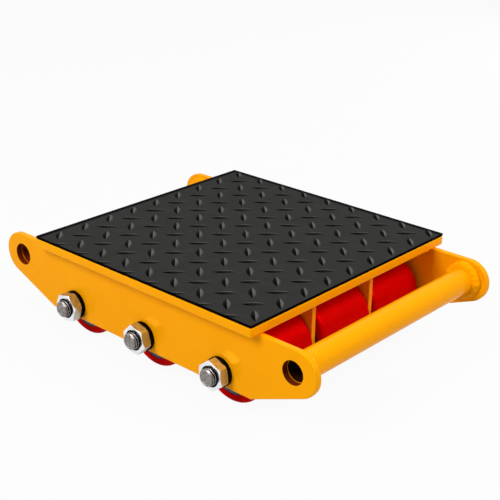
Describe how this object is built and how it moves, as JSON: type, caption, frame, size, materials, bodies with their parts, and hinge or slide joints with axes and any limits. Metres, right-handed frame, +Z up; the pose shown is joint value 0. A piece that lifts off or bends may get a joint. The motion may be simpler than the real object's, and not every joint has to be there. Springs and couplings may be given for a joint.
{
  "type": "machine skate",
  "caption": "Low steel machine skate with a studded rubber deck mat, handle tubes between round-eared side plates, and coated rollers on bolted axles.",
  "frame": {"origin": "on the floor under the middle of the deck, where the rollers stand", "axes": "+X along the skate towards its front handle, +Y along the axles to the left side, +Z up"},
  "size_m": [0.3976, 0.292, 0.0965],
  "materials": {
    "yellow_paint": "smooth glossy yellow-orange coat",
    "black_rubber": "satin moulded rubber",
    "red_polyurethane": "smooth satin cast coat",
    "core_steel": "dark blued, turned",
    "zinc_plate": "bright zinc plate",
    "axle_steel": "turned, rolled thread ends",
    "black_oxide": "black oxide",
    "bearing_steel": "ground",
    "spacer_steel": "turned"
  },
  "bodies": {
    "frame": {"deck_plate": "yellow_paint", "rubber_mat": "black_rubber", "side_plate_left": "yellow_paint", "side_plate_right": "yellow_paint", "divider_plate_left": "yellow_paint", "divider_plate_right": "yellow_paint", "handle_tube_front": "yellow_paint", "handle_tube_rear": "yellow_paint", "handle_welds": "yellow_paint", "deck_welds": "yellow_paint", "tack_welds": "yellow_paint", "divider_welds": "yellow_paint", "axle_nuts": "zinc_plate", "spring_washers": "black_oxide", "axle_front": "axle_steel", "bearing_inner_rings_front": "bearing_steel", "spacer_sleeves_front": "spacer_steel", "end_spacers_front": "spacer_steel", "axle_middle": "axle_steel", "bearing_inner_rings_middle": "bearing_steel", "spacer_sleeves_middle": "spacer_steel", "end_spacers_middle": "spacer_steel", "axle_rear": "axle_steel", "bearing_inner_rings_rear": "bearing_steel", "spacer_sleeves_rear": "spacer_steel", "end_spacers_rear": "spacer_steel"},
    "roller_front_left": {"roller_front_left_tread": "red_polyurethane", "roller_front_left_core": "core_steel", "roller_front_left_bearing_outer_rings": "bearing_steel"},
    "roller_front_centre": {"roller_front_centre_tread": "red_polyurethane", "roller_front_centre_core": "core_steel", "roller_front_centre_bearing_outer_rings": "bearing_steel"},
    "roller_front_right": {"roller_front_right_tread": "red_polyurethane", "roller_front_right_core": "core_steel", "roller_front_right_bearing_outer_rings": "bearing_steel"},
    "roller_middle_left": {"roller_middle_left_tread": "red_polyurethane", "roller_middle_left_core": "core_steel", "roller_middle_left_bearing_outer_rings": "bearing_steel"},
    "roller_middle_centre": {"roller_middle_centre_tread": "red_polyurethane", "roller_middle_centre_core": "core_steel", "roller_middle_centre_bearing_outer_rings": "bearing_steel"},
    "roller_middle_right": {"roller_middle_right_tread": "red_polyurethane", "roller_middle_right_core": "core_steel", "roller_middle_right_bearing_outer_rings": "bearing_steel"},
    "roller_rear_left": {"roller_rear_left_tread": "red_polyurethane", "roller_rear_left_core": "core_steel", "roller_rear_left_bearing_outer_rings": "bearing_steel"},
    "roller_rear_centre": {"roller_rear_centre_tread": "red_polyurethane", "roller_rear_centre_core": "core_steel", "roller_rear_centre_bearing_outer_rings": "bearing_steel"},
    "roller_rear_right": {"roller_rear_right_tread": "red_polyurethane", "roller_rear_right_core": "core_steel", "roller_rear_right_bearing_outer_rings": "bearing_steel"}
  },
  "joints": [
    {"name": "roller_front_left_spin", "type": "hinge", "parent": "frame", "child": "roller_front_left", "pos_m": [0.095, 0.081, 0.035], "axis": [0, 1, 0], "continuous": true},
    {"name": "roller_front_centre_spin", "type": "hinge", "parent": "frame", "child": "roller_front_centre", "pos_m": [0.095, 0.003, 0.035], "axis": [0, 1, 0], "continuous": true},
    {"name": "roller_front_right_spin", "type": "hinge", "parent": "frame", "child": "roller_front_right", "pos_m": [0.095, -0.08, 0.035], "axis": [0, 1, 0], "continuous": true},
    {"name": "roller_middle_left_spin", "type": "hinge", "parent": "frame", "child": "roller_middle_left", "pos_m": [0, 0.081, 0.035], "axis": [0, 1, 0], "continuous": true},
    {"name": "roller_middle_centre_spin", "type": "hinge", "parent": "frame", "child": "roller_middle_centre", "pos_m": [0, 0.003, 0.035], "axis": [0, 1, 0], "continuous": true},
    {"name": "roller_middle_right_spin", "type": "hinge", "parent": "frame", "child": "roller_middle_right", "pos_m": [0, -0.08, 0.035], "axis": [0, 1, 0], "continuous": true},
    {"name": "roller_rear_left_spin", "type": "hinge", "parent": "frame", "child": "roller_rear_left", "pos_m": [-0.095, 0.081, 0.035], "axis": [0, 1, 0], "continuous": true},
    {"name": "roller_rear_centre_spin", "type": "hinge", "parent": "frame", "child": "roller_rear_centre", "pos_m": [-0.095, 0.003, 0.035], "axis": [0, 1, 0], "continuous": true},
    {"name": "roller_rear_right_spin", "type": "hinge", "parent": "frame", "child": "roller_rear_right", "pos_m": [-0.095, -0.08, 0.035], "axis": [0, 1, 0], "continuous": true}
  ]
}
